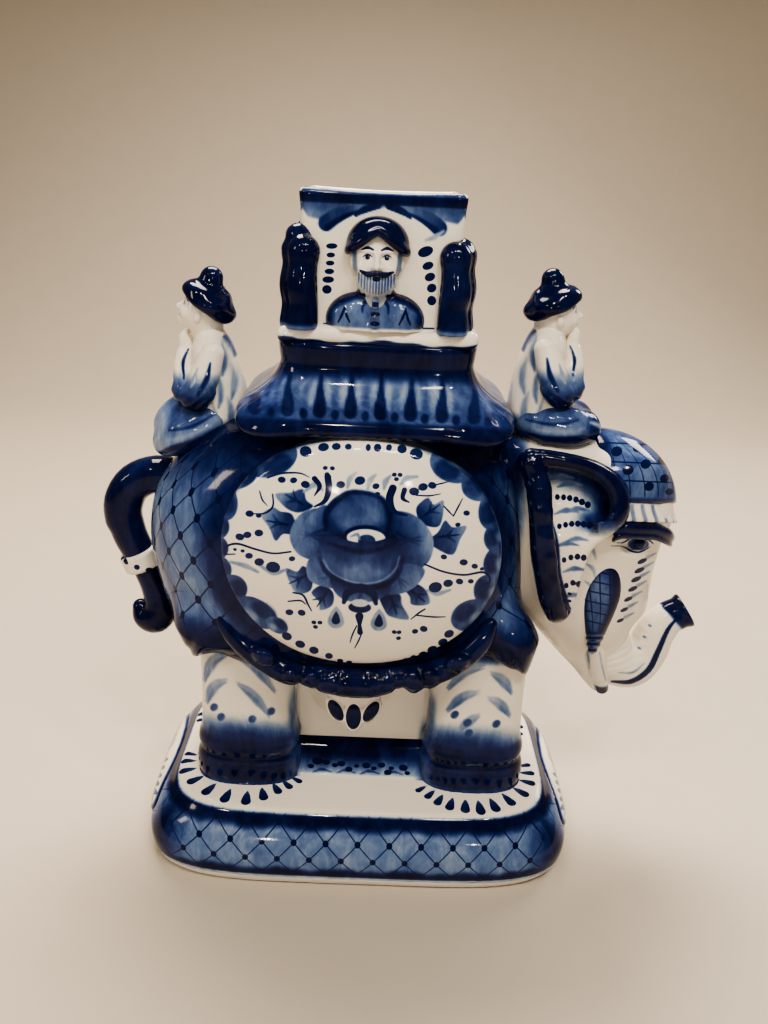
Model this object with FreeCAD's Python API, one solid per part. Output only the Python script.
import FreeCAD, Part
import math
import os

# Elephant teapot in hand-painted porcelain: an elephant carrying a howdah stands on a hollow plinth.
# The howdah neck is the filling mouth, the raised trunk is the spout and the tail is the handle.
# Frame: origin at the centre of the foot ring's underside, +X towards the elephant's head,
# -Y is the near flank, +Z up, millimetres. The two flanks mirror each other about Y = 0.

V = FreeCAD.Vector

# ---- driving dimensions (mm) ----
WALL = 5.0
TOTAL_HEIGHT = 290.0
BEYOND = 200.0

# plinth: outer half length and half width at the foot, at the bulge and at the deck
FOOT_HALF = (94.0, 60.0)
BULGE_HALF = (98.5, 63.0)
DECK_HALF = (86.0, 51.0)
RING_TOP = 5.0
BULGE_Z = 10.0
DECK_Z = 32.0
PLINTH_POWER = 4.8
FOOT_WIDTH = 7.0
CARTOUCHE_PROUD = 2.2
CARTOUCHE_SETBACK = 20.0
CARTOUCHE_REACH = 40.0
CARTOUCHE_HALF = (38.0, 9.5)
CARTOUCHE_Z = 18.5

# legs: centre X, centre Y, half size of the foot and height of the roll above it
LEG_X = {"hind": -52.5, "fore": 51.5}
LEG_Y = -18.5
FOOT_HALF_SIZE = (24.5, 16.0)
FOOT_ROLL_Z = 54.0
LEG_TOP = 118.0
LEG_BORE_R = 8.5
LEG_BORE_TOP = 92.0

# wall under the belly, between the legs
SUPPORT_X = (-33.0, 30.0)
SUPPORT_HALF_Y = 15.0
SUPPORT_TOP = 104.0
STEP_TOP = 47.0
STEP_HALF_Y = (19.5, 25.0)

# barrel of the body, from belly to back: height, rump X, chest X, half depth
BODY_ROWS = [
    (88.0, -66.0, 50.0, 30.0),
    (97.0, -80.0, 63.0, 40.0),
    (112.0, -89.5, 69.0, 47.0),
    (130.0, -94.5, 70.0, 50.5),
    (148.0, -96.5, 69.5, 51.5),
    (166.0, -93.5, 67.5, 50.0),
    (182.0, -83.5, 62.0, 46.5),
    (195.0, -68.0, 55.0, 41.5),
    (206.0, -48.0, 46.0, 34.0),
]
BODY_POWER = 2.35
BELLY_FLOOR = 6.0

# strainer: a ring of holes round a central one, through the chest wall into the trunk
STRAINER_HOLE_R = 2.5
STRAINER_PITCH = 9.0
STRAINER_RING = 6
STRAINER_X = (50.0, 90.0)
STRAINER_Z = 140.0

# oval medallion on each flank
MEDALLION_CENTRE = (-3.5, 154.0)
MEDALLION_HALF = (57.5, 49.5)
MEDALLION_DOME = (93.0, 57.5, 83.0)

# blanket hem: a roll that follows the lower edge of the medallion
HEM_ROLL = 7.5
HEM_SPAN = (212.0, 328.0)
HEM_STEPS = 8
HEM_GAP = (3.5, 8.5)
HEM_Y = -42.5
HEM_SWEEP = 3.0
PENDANT_CENTRE = (-4.0, -38.5, 80.5)
PENDANT_HALF = (13.0, 7.0, 14.5)

# pointed blanket corners: centre, half sizes, tilt about Y in degrees
FLAP = {
    "rear": ((-73.0, -29.0, 115.0), (13.5, 14.0, 20.0), 14.0),
    "front": ((62.0, -27.0, 116.0), (11.5, 13.5, 21.0), -14.0),
}

# howdah: skirt from its lower edge to the ledge seat: height, half length, half width
SKIRT_ROWS = [
    (198.0, 54.5, 45.5),
    (202.0, 56.0, 46.5),
    (206.0, 54.0, 44.0),
    (212.0, 46.5, 36.5),
    (218.0, 41.0, 31.0),
    (225.0, 37.4, 27.4),
    (230.0, 38.2, 28.2),
    (234.5, 39.5, 29.5),
]
SKIRT_BORE_ROWS = [
    (196.0, 44.0, 33.0),
    (212.0, 38.0, 28.0),
    (222.0, 29.0, 20.0),
    (236.0, 28.0, 19.0),
]
SKIRT_POWER = 5.0
LEDGE_TOP = 240.5
LEDGE_HALF = (37.5, 27.5)
NECK_HALF_BOTTOM = (31.5, 23.5)
NECK_HALF_TOP = (30.5, 22.5)
NECK_CORNER_R = 5.0
RIM_ROUND = 1.4

# gathered drapes on the four corners of the neck
DRAPE_R = (7.2, 6.4)
DRAPE_TOP = 270.5
DRAPE_LOBES = [(-30.4, -22.6), (-32.2, -17.4)]

# relief bust on each long face of the neck
RAJAH_X = -1.5
RAJAH_Y = -22.5
SHOULDERS = (244.0, (18.0, 7.6, 12.0))
FACE = (265.0, (8.8, 7.6, 11.5))
TURBAN = (271.0, (11.8, 8.4, 10.8))
TURBAN_BROW_Z = 269.0

# elephant's head: height, back X, front X, half depth
HEAD_ROWS = [
    (71.0, 108.0, 116.5, 4.0),
    (80.0, 100.5, 119.0, 8.0),
    (92.0, 89.0, 121.0, 12.5),
    (105.0, 77.0, 122.5, 17.0),
    (120.0, 62.0, 125.0, 20.5),
    (136.0, 50.0, 127.5, 23.5),
    (152.0, 44.0, 129.5, 26.0),
    (168.0, 42.0, 129.0, 27.0),
    (182.0, 44.0, 122.5, 25.0),
    (191.0, 48.0, 113.0, 20.5),
    (196.0, 54.0, 104.0, 15.0),
]
HEAD_POWER = 2.35
HEAD_CAVITY_Z = (118.0, 178.0)
CAP_DOME = ((97.0, 0.0, 165.0), (36.5, 28.5, 33.0))
CAP_EDGE_Z = 166.0
CAP_BACK_X = 94.0
BROW_Z = (154.5, 162.0)
BROW_DOME = ((92.0, 0.0, 158.0), (41.5, 29.5, 60.0))
BROW_BACK_X = 103.0

# ear: outline in XZ, cut from a dome that stands off the head
EAR_OUTLINE = [
    (55.5, 194.0),
    (64.5, 196.5),
    (84.5, 196.0),
    (97.0, 191.0),
    (104.0, 181.5),
    (102.5, 171.5),
    (94.0, 166.5),
    (89.0, 156.5),
    (87.5, 140.0),
    (86.5, 124.5),
    (79.5, 121.0),
    (72.5, 128.5),
    (65.5, 152.0),
    (61.5, 174.5),
    (56.5, 187.0),
]
EAR_DOME = ((76.0, 0.0, 160.0), (52.0, 37.5, 62.0))

# cheek guard, a drop-shaped pad, and the tusk below it
CHEEK_GUARD = ((101.3, -17.8, 127.0), (8.0, 6.0, 26.0), -3.0)
TUSK_STATIONS = [((104.5, -13.0, 101.0), 5.6), ((109.5, -9.5, 86.0), 5.0), ((113.6, -5.5, 73.0), 3.4)]

# trunk: centreline X and Z, radius in the XZ plane, half width across Y
TRUNK_STATIONS = [
    (110.0, 116.0, 11.0, 11.5),
    (111.0, 100.0, 12.0, 11.5),
    (117.5, 87.5, 13.0, 12.0),
    (126.5, 83.5, 12.5, 11.0),
    (133.5, 91.5, 10.0, 9.5),
    (136.0, 101.5, 8.4, 8.5),
    (140.5, 109.0, 7.8, 8.2),
    (146.8, 112.6, 8.0, 8.4),
]
TRUNK_BORE_R = 4.2
TRUNK_MOUTH_R = 6.2
TRUNK_MOUTH_DEPTH = 7.0

# tail handle: centreline X and Z, radius in the XZ plane, half width across Y
TAIL_STATIONS = [
    (-84.0, 166.0, 6.0, 8.0),
    (-96.0, 167.5, 6.6, 8.2),
    (-106.0, 162.5, 7.4, 8.4),
    (-110.5, 152.0, 7.9, 8.6),
    (-108.5, 141.0, 7.6, 8.4),
    (-105.0, 132.5, 7.0, 8.0),
]
TAIL_RING = ((-105.0, 132.5), (-102.0, 124.5), 8.6, 9.0)
TUFT_STATIONS = [
    (-102.0, 124.5, 6.4, 7.4),
    (-98.0, 113.0, 6.2, 7.4),
    (-96.5, 103.0, 7.2, 8.2),
    (-99.5, 95.5, 8.2, 8.6),
    (-104.5, 94.0, 6.6, 7.0),
]
TUFT_CURL = ((-104.0, 0.0, 93.6), (7.2, 8.0, 7.4))

# seated riders: frame origin on the centreline, leg tilt, torso tilt and head tilt in degrees
RIDERS = {
    "front_rider": ((76.0, 197.0), 1, 0.0, 0.0, 12.0),
    "rear_rider": ((-76.0, 189.0), -1, 24.0, 4.0, 14.0),
}
RIDER_LEGS = ((2.5, 0.0, 6.5), (19.5, 20.0, 8.5))
RIDER_TORSO_ROWS = [
    (8.0, -18.5, 9.0, 12.0),
    (20.0, -19.5, 6.5, 12.5),
    (32.0, -18.0, 3.0, 11.5),
    (42.0, -14.5, 1.0, 8.0),
    (46.0, -12.0, -1.0, 5.5),
]
RIDER_ARM = [
    ((-7.0, -12.0, 35.0), 4.6),
    ((0.0, -15.0, 20.0), 5.2),
    ((5.5, -10.0, 22.0), 4.4),
    ((4.0, -5.0, 36.0), 3.4),
]
RIDER_FACE = ((-3.5, 0.0, 50.0), (9.0, 8.0, 9.5))
RIDER_TURBAN = ((-6.0, 0.0, 56.0), (11.5, 10.5, 6.5))
RIDER_KNOB = ((-8.0, 0.0, 61.5), (4.6, 4.6, 5.2))

EVERYWHERE = (-BEYOND, BEYOND)
NEAR_FLANK = (-BEYOND, -6.0)
FEW_POINTS = 16
MANY_POINTS = 28
SQUARISH = 3.0


# ---- geometry helpers ----
def oval_wire(centre, half_u, half_v, u_dir, v_dir, power=2.0):
    """A closed superellipse in the plane of u_dir and v_dir."""
    points = []
    count = MANY_POINTS if power > SQUARISH else FEW_POINTS
    for i in range(count):
        a = 2 * math.pi * (i + 0.5) / count
        c, s = math.cos(a), math.sin(a)
        u = math.copysign(abs(c) ** (2 / power), c) * half_u
        v = math.copysign(abs(s) ** (2 / power), s) * half_v
        points.append(centre + u_dir * u + v_dir * v)
    curve = Part.BSplineCurve()
    curve.interpolate(Points=points, PeriodicFlag=True)
    return Part.Wire([curve.toShape()])


def level_section(z, x_low, x_high, half_y, power, mid_y=0.0):
    """A horizontal superellipse from x_low to x_high at height z."""
    centre = V((x_low + x_high) / 2, mid_y, z)
    return oval_wire(centre, (x_high - x_low) / 2, half_y, V(1, 0, 0), V(0, 1, 0), power)


def loft(wires):
    """A solid through the wires, turned the right way out."""
    solid = Part.makeLoft(wires, True, False)
    if solid.Volume < 0:
        solid.reverse()
    return solid


def stacked(rows, power):
    """A solid from rows of height, low X, high X and half depth."""
    return loft([level_section(z, low, high, half, power) for z, low, high, half in rows])


def centred(rows, power):
    """A solid from rows of height, half length and half width."""
    return loft([level_section(z, -hx, hx, hy, power) for z, hx, hy in rows])


def shrunk(rows, wall):
    return [(z, low + wall, high - wall, half - wall) for z, low, high, half in rows]


def ellipsoid(centre, half, tilt=0.0):
    """An ellipsoid, turned about Y by tilt degrees."""
    matrix = FreeCAD.Matrix()
    matrix.scale(*half)
    solid = Part.makeSphere(1.0).transformGeometry(matrix)
    solid.rotate(V(0, 0, 0), V(0, 1, 0), tilt)
    solid.translate(V(*centre))
    return solid


def bent_tube(stations):
    """A tube whose centreline lies in the XZ plane, through stations of x, z, radius and half width."""
    wires = []
    for i, (x, z, radius, half_width) in enumerate(stations):
        before = stations[max(i - 1, 0)]
        after = stations[min(i + 1, len(stations) - 1)]
        along = V(after[0] - before[0], 0, after[1] - before[1]).normalize()
        across = V(along.z, 0, -along.x)
        wires.append(oval_wire(V(x, 0, z), radius, half_width, across, V(0, 1, 0)))
    return loft(wires)


def limb(stations):
    """Round segments between balls: a run of (centre, radius) stations."""
    balls = [Part.makeSphere(radius, V(*centre)) for centre, radius in stations]
    solid = balls[0]
    for (a, ra), (b, rb) in zip(stations, stations[1:]):
        run = V(*b) - V(*a)
        solid = solid.fuse(Part.makeCone(ra, rb, run.Length, V(*a), run))
    return solid.fuse(balls[1:]).removeSplitter()


def block(x, y, z):
    """A box between two corners given as ranges."""
    size = (x[1] - x[0], y[1] - y[0], z[1] - z[0])
    return Part.makeBox(*size, V(x[0], y[0], z[0]))


def rounded_rect(z, half_x, half_y, radius):
    """A horizontal rectangle with round corners."""
    box = Part.makeBox(2 * half_x, 2 * half_y, 1, V(-half_x, -half_y, z))
    upright = [e for e in box.Edges if abs(e.tangentAt(e.FirstParameter).z) > 0.9]
    box = box.makeFillet(radius, upright)
    base = min(box.Faces, key=lambda f: f.CenterOfMass.z)
    return base.OuterWire


def biggest(shape):
    return max(shape.Solids, key=lambda s: s.Volume)


def mirrored(shape):
    return shape.mirror(V(0, 0, 0), V(0, 1, 0))


nodes = {}


def keep(name, shape, pieces=1):
    """Stores the largest solids of the shape as one node."""
    solids = sorted(shape.Solids, key=lambda s: -s.Volume)[:pieces]
    nodes[name] = solids[0] if pieces == 1 else Part.makeCompound(solids)


def keep_pair(name, near, pieces=1):
    """Stores the near piece and its mirror image on the far flank."""
    keep(name + "_near", near, pieces)
    keep(name + "_far", mirrored(near), pieces)


# ---- plinth ----
def plinth_parts():
    def outline(grow):
        return [
            (0.0, FOOT_HALF[0] + grow, FOOT_HALF[1] + grow),
            (RING_TOP, BULGE_HALF[0] - 1.0 + grow, BULGE_HALF[1] - 1.0 + grow),
            (BULGE_Z + 4.0, BULGE_HALF[0] - 0.3 + grow, BULGE_HALF[1] - 0.5 + grow),
            (BULGE_Z + 13.0, BULGE_HALF[0] - 4.5 + grow, BULGE_HALF[1] - 4.5 + grow),
            (DECK_Z - 3.0, DECK_HALF[0] + 2.6 + grow, DECK_HALF[1] + 2.6 + grow),
            (DECK_Z, DECK_HALF[0] + grow, DECK_HALF[1] + grow),
        ]

    solid = centred(outline(0.0), PLINTH_POWER)
    hollow_rows = [
        (-1.0, FOOT_HALF[0] - FOOT_WIDTH, FOOT_HALF[1] - FOOT_WIDTH),
        (RING_TOP + 7.0, BULGE_HALF[0] - 8.0, BULGE_HALF[1] - 8.0),
        (DECK_Z - WALL, DECK_HALF[0] - WALL - 1.0, DECK_HALF[1] - WALL - 1.0),
    ]
    shell = solid.cut(centred(hollow_rows, PLINTH_POWER))
    for x in LEG_X.values():
        for side in (-1, 1):
            drain = Part.makeCylinder(LEG_BORE_R, 3 * WALL, V(x, -side * LEG_Y, DECK_Z - 2 * WALL))
            shell = shell.cut(drain)
    low = block(EVERYWHERE, EVERYWHERE, (-1, RING_TOP))
    keep("foot_ring", shell.common(low))
    keep("plinth", shell.cut(low))
    proud = centred(outline(CARTOUCHE_PROUD), PLINTH_POWER)
    for name, sign in (("cartouche_front", 1), ("cartouche_rear", -1)):
        centre = V(sign * (BULGE_HALF[0] - CARTOUCHE_SETBACK), 0, CARTOUCHE_Z)
        leaf = oval_wire(centre, *CARTOUCHE_HALF, V(0, 1, 0), V(0, 0, 1), 2.4)
        column = Part.Face(leaf).extrude(V(sign * CARTOUCHE_REACH, 0, 0))
        keep(name, column.common(proud).cut(solid))


# ---- legs and the wall between them ----
def leg_solid(x):
    shape = [
        (DECK_Z, 0.955),
        (DECK_Z + 8.0, 1.0),
        (FOOT_ROLL_Z - 6.0, 0.985),
        (FOOT_ROLL_Z + 1.0, 0.955),
        (FOOT_ROLL_Z + 9.0, 0.89),
        (FOOT_ROLL_Z + 20.0, 0.875),
        (FOOT_ROLL_Z + 34.0, 0.88),
        (FOOT_ROLL_Z + 48.0, 0.89),
        (LEG_TOP, 0.90),
    ]
    wires = []
    for z, part in shape:
        half_x = FOOT_HALF_SIZE[0] * part
        half_y = FOOT_HALF_SIZE[1] * part
        wires.append(level_section(z, x - half_x, x + half_x, half_y, 2.6, LEG_Y))
    return loft(wires)


def stand_parts(body):
    legs = []
    for name, x in LEG_X.items():
        leg = leg_solid(x)
        legs.append(leg)
        bore = Part.makeCylinder(LEG_BORE_R, LEG_BORE_TOP - DECK_Z + 1, V(x, LEG_Y, DECK_Z - 1))
        keep_pair("leg_" + name, leg.cut(bore).cut(body))
    feet = [legs[0], legs[1], mirrored(legs[0]), mirrored(legs[1])]
    wall = block(SUPPORT_X, (-SUPPORT_HALF_Y, SUPPORT_HALF_Y), (DECK_Z, SUPPORT_TOP))
    keep("belly_support", wall.cut(feet).cut(body))
    corners = [
        V(SUPPORT_X[0], -STEP_HALF_Y[1], DECK_Z),
        V(SUPPORT_X[0], STEP_HALF_Y[1], DECK_Z),
        V(SUPPORT_X[0], STEP_HALF_Y[0], STEP_TOP),
        V(SUPPORT_X[0], -STEP_HALF_Y[0], STEP_TOP),
    ]
    face = Part.Face(Part.makePolygon(corners + corners[:1]))
    ramp = face.extrude(V(SUPPORT_X[1] - SUPPORT_X[0], 0, 0))
    keep("support_step", ramp.cut(feet).cut(wall), 2)
    return legs, wall


# ---- body, medallions and blanket ----
def body_parts():
    solid = stacked(BODY_ROWS, BODY_POWER)
    rows = shrunk(BODY_ROWS, WALL)
    floor = (BODY_ROWS[0][0] + BELLY_FLOOR, rows[0][1] + 4, rows[0][2] - 4, rows[0][3] - 2)
    top = BODY_ROWS[-1]
    mouth = (top[0] + 1, top[1] + WALL + 2, top[2] - WALL - 2, top[3] - WALL - 2)
    cavity = stacked([floor] + rows[1:-1] + [mouth], BODY_POWER)
    shell = solid.cut(cavity)
    spots = [(0.0, STRAINER_Z)]
    for i in range(STRAINER_RING):
        turn = 2 * math.pi * i / STRAINER_RING
        spots.append((STRAINER_PITCH * math.cos(turn), STRAINER_Z + STRAINER_PITCH * math.sin(turn)))
    start, end = STRAINER_X
    for y, z in spots:
        shell = shell.cut(Part.makeCylinder(STRAINER_HOLE_R, end - start, V(start, y, z), V(1, 0, 0)))
    keep("body_shell", shell)
    return solid


def blanket_parts(body, legs, wall, skirt):
    x, z = MEDALLION_CENTRE
    oval = oval_wire(V(x, -BEYOND, z), *MEDALLION_HALF, V(1, 0, 0), V(0, 0, 1), 2.1)
    column = Part.Face(oval).extrude(V(0, BEYOND, 0))
    dome = ellipsoid((x, 0, z), MEDALLION_DOME)
    medallion = column.common(dome).cut(body).cut(skirt)
    keep_pair("medallion", medallion)

    stations = []
    for i in range(HEM_STEPS + 1):
        turn = math.radians(HEM_SPAN[0] + (HEM_SPAN[1] - HEM_SPAN[0]) * i / HEM_STEPS)
        hem_x = x + (MEDALLION_HALF[0] + HEM_GAP[0]) * math.cos(turn)
        hem_z = z + (MEDALLION_HALF[1] + HEM_GAP[1]) * math.sin(turn)
        depth = HEM_Y + HEM_SWEEP * ((hem_x - x) / MEDALLION_HALF[0]) ** 2
        stations.append(V(hem_x, depth, hem_z))
    wires = []
    for i, point in enumerate(stations):
        before = stations[max(i - 1, 0)]
        after = stations[min(i + 1, HEM_STEPS)]
        along = (after - before).normalize()
        outward = V(0, -1, 0)
        across = along.cross(outward).normalize()
        wires.append(oval_wire(point, HEM_ROLL, HEM_ROLL, across, across.cross(along)))
    hem = loft(wires).cut(body).cut(medallion).cut(legs)
    keep_pair("hem", hem)

    pendant = ellipsoid(PENDANT_CENTRE, PENDANT_HALF).cut(hem).cut(body).cut(wall)
    keep_pair("pendant", pendant)

    for name, (centre, half, tilt) in FLAP.items():
        flap = ellipsoid(centre, half, tilt).cut(body).cut(legs).cut(hem)
        keep_pair("flap_" + name, flap)


# ---- howdah ----
def howdah_parts(body):
    outer = centred(SKIRT_ROWS, SKIRT_POWER)
    bore = centred(SKIRT_BORE_ROWS, SKIRT_POWER)
    keep("howdah_skirt", outer.cut(bore).cut(body))

    seat_z = SKIRT_ROWS[-1][0]
    mouth = (NECK_HALF_BOTTOM[0] - WALL, NECK_HALF_BOTTOM[1] - WALL)
    ledge = loft([
        rounded_rect(seat_z, SKIRT_ROWS[-1][1] - 1.0, SKIRT_ROWS[-1][2] - 1.0, NECK_CORNER_R),
        rounded_rect((seat_z + LEDGE_TOP) / 2, LEDGE_HALF[0] + 0.6, LEDGE_HALF[1] + 0.6, NECK_CORNER_R),
        rounded_rect(LEDGE_TOP, LEDGE_HALF[0], LEDGE_HALF[1], NECK_CORNER_R),
    ])
    hole = block((-mouth[0], mouth[0]), (-mouth[1], mouth[1]), (seat_z - 1, TOTAL_HEIGHT + 1))
    keep("howdah_ledge", ledge.cut(hole))

    neck = loft([
        rounded_rect(LEDGE_TOP, *NECK_HALF_BOTTOM, NECK_CORNER_R),
        rounded_rect(TOTAL_HEIGHT, *NECK_HALF_TOP, NECK_CORNER_R),
    ])
    well = loft([
        rounded_rect(LEDGE_TOP - 1, mouth[0], mouth[1], NECK_CORNER_R - 2),
        rounded_rect(TOTAL_HEIGHT + 1, NECK_HALF_TOP[0] - WALL, NECK_HALF_TOP[1] - WALL, NECK_CORNER_R - 2),
    ])
    shell = neck.cut(well)
    rim = [e for e in shell.Edges if e.BoundBox.ZMin > TOTAL_HEIGHT - 0.1]
    keep("neck_shell", shell.makeFillet(RIM_ROUND, rim))

    for end, sign in (("rear", 1), ("front", -1)):
        drape = None
        for x, y in DRAPE_LOBES:
            column = Part.makeCone(DRAPE_R[0], DRAPE_R[1], DRAPE_TOP - LEDGE_TOP, V(sign * x, y, LEDGE_TOP))
            lobe = column.fuse(Part.makeSphere(DRAPE_R[1], V(sign * x, y, DRAPE_TOP)))
            drape = lobe if drape is None else drape.fuse(lobe)
        keep_pair("drape_" + end, drape.cut(neck))

    above_ledge = block(EVERYWHERE, EVERYWHERE, (LEDGE_TOP, TOTAL_HEIGHT))
    above_brow = block(EVERYWHERE, EVERYWHERE, (TURBAN_BROW_Z, TOTAL_HEIGHT))
    bust = ellipsoid((RAJAH_X, RAJAH_Y, SHOULDERS[0]), SHOULDERS[1]).common(above_ledge).cut(neck)
    face = ellipsoid((RAJAH_X, RAJAH_Y, FACE[0]), FACE[1]).cut(neck).cut(bust)
    turban = ellipsoid((RAJAH_X, RAJAH_Y, TURBAN[0]), TURBAN[1]).common(above_brow)
    keep_pair("rajah_bust", bust)
    keep_pair("rajah_head", face.cut(above_brow))
    keep_pair("rajah_turban", turban.cut(neck))
    return outer


# ---- elephant's head, trunk and ears ----
def head_parts(body, skirt):
    solid = stacked(HEAD_ROWS, HEAD_POWER).cut(body)
    inner = [row for row in HEAD_ROWS if HEAD_CAVITY_Z[0] < row[0] < HEAD_CAVITY_Z[1]]
    cavity = stacked(shrunk(inner, WALL + 1), HEAD_POWER)
    trunk = bent_tube(TRUNK_STATIONS)
    path = [V(x, 0, z) for x, z, r, w in TRUNK_STATIONS]
    tip = path[-1]
    tip_dir = (tip - path[-2]).normalize()
    path = [path[0] + (path[0] - path[1])] + path + [tip + tip_dir * TRUNK_MOUTH_DEPTH]
    bore = bent_tube([(p.x, p.z, TRUNK_BORE_R, TRUNK_BORE_R) for p in path])
    flare_start = tip - tip_dir * TRUNK_MOUTH_DEPTH
    flare = Part.makeCone(TRUNK_BORE_R, TRUNK_MOUTH_R, TRUNK_MOUTH_DEPTH, flare_start, tip_dir)
    keep("elephant_head", solid.cut(skirt).cut(cavity).cut(bore))
    keep("trunk_spout", trunk.cut(solid).cut(bore).cut(flare))

    dome = ellipsoid(*CAP_DOME)
    cap = dome.common(block((CAP_BACK_X, BEYOND), EVERYWHERE, (CAP_EDGE_Z, TOTAL_HEIGHT)))
    keep("forehead_cap", cap.cut(solid))
    band = block((BROW_BACK_X, BEYOND), EVERYWHERE, BROW_Z)
    keep("brow_band", ellipsoid(*BROW_DOME).common(band).cut(solid))

    ring = Part.BSplineCurve()
    ring.interpolate(Points=[V(x, NEAR_FLANK[0], z) for x, z in EAR_OUTLINE], PeriodicFlag=True)
    column = Part.Face(Part.Wire([ring.toShape()])).extrude(V(0, NEAR_FLANK[1] - NEAR_FLANK[0], 0))
    ear = column.common(ellipsoid(*EAR_DOME)).cut(solid).cut(body)
    keep_pair("ear", ear)
    ear = biggest(ear)

    centre, half, tilt = CHEEK_GUARD
    guard = biggest(ellipsoid(centre, half, tilt).cut(solid).cut(ear).cut(trunk))
    keep_pair("cheek_guard", guard)
    tusk = limb(TUSK_STATIONS).cut(solid).cut(guard).cut(trunk)
    keep_pair("tusk", tusk)
    return solid, cap


# ---- tail handle ----
def tail_parts(body):
    handle = bent_tube(TAIL_STATIONS)
    (x0, z0), (x1, z1), radius, half = TAIL_RING
    ring = bent_tube([(x0, z0, radius, half), (x1, z1, radius, half)])
    tuft = bent_tube(TUFT_STATIONS).fuse(ellipsoid(*TUFT_CURL))
    keep("tail_handle", handle.cut(body).cut(ring))
    keep("tail_ring", ring.cut(body))
    keep("tail_tuft", tuft.cut(ring).cut(body))


# ---- riders ----
def rider_parts(name, place, supports):
    (seat_x, seat_z), facing, leg_tilt, torso_tilt, head_tilt = place

    def placed(shape, tilt):
        """Turns the piece about the seat, faces it forwards or backwards, and sets it on its seat."""
        piece = shape.copy()
        piece.rotate(V(0, 0, 0), V(0, 1, 0), tilt)
        if facing < 0:
            piece.rotate(V(0, 0, 0), V(0, 0, 1), 180)
        piece.translate(V(seat_x, 0, seat_z))
        return piece

    legs = placed(ellipsoid(*RIDER_LEGS), leg_tilt).cut(supports)
    torso = placed(stacked(RIDER_TORSO_ROWS, 2.2), torso_tilt).cut(legs).cut(supports)
    face = placed(ellipsoid(*RIDER_FACE, -head_tilt), torso_tilt).cut(torso)
    turban = ellipsoid(*RIDER_TURBAN, -2 * head_tilt).fuse(ellipsoid(*RIDER_KNOB))
    turban = placed(turban, torso_tilt).cut(face).cut(torso)
    arm = limb(RIDER_ARM)
    arms = placed(arm, torso_tilt).fuse(placed(mirrored(arm), torso_tilt))
    arms = arms.cut(torso).cut(legs).cut(face)
    keep(name + "_legs", legs)
    keep(name + "_torso", torso)
    keep(name + "_arms", arms, 2)
    keep(name + "_head", face)
    keep(name + "_turban", turban)


def main():
    plinth_parts()
    body = body_parts()
    legs, wall = stand_parts(body)
    skirt = howdah_parts(body)
    blanket_parts(body, legs, wall, skirt)
    head, cap = head_parts(body, skirt)
    tail_parts(body)
    supports = [body, skirt, head, cap]
    for name, place in RIDERS.items():
        rider_parts(name, place, supports)
    os.makedirs("parts", exist_ok=True)
    for name, shape in sorted(nodes.items()):
        shape.exportStep("parts/" + name + ".step")
        box = shape.BoundBox
        print(f"{name:20s} {shape.isValid()} {shape.Volume:10.1f}"
              f" x {box.XMin:7.1f} {box.XMax:7.1f} y {box.YMin:6.1f} {box.YMax:6.1f}"
              f" z {box.ZMin:6.1f} {box.ZMax:6.1f} solids {len(shape.Solids)}")


main()
